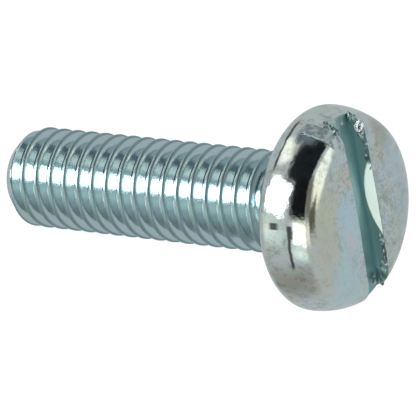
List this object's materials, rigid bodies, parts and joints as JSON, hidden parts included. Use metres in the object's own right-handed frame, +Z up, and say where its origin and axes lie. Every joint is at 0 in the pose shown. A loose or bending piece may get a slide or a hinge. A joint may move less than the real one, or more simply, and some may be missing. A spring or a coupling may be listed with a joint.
{
  "type": "slotted pan head machine screw",
  "caption": "Zinc plated steel machine screw with a slotted pan head and a full-length right-hand thread, lying at rest on its head rim and thread.",
  "frame": {"origin": "middle of the lying screw's outline seen from above, on the floor it lies on", "axes": "+X along the screw's length towards the head, +Z up; the screw's own axis rises 8.3 degrees towards the head because the rim of the head holds it up"},
  "size_m": [0.0242, 0.0116, 0.0116],
  "materials": {
    "zinc_plated_steel": "bright clear zinc plating with a faint blue and violet tint; glossy on the side and shoulder of the head and on the thread, matte on the top face"
  },
  "bodies": {
    "root": {"screw": "zinc_plated_steel"}
  },
  "joints": []
}
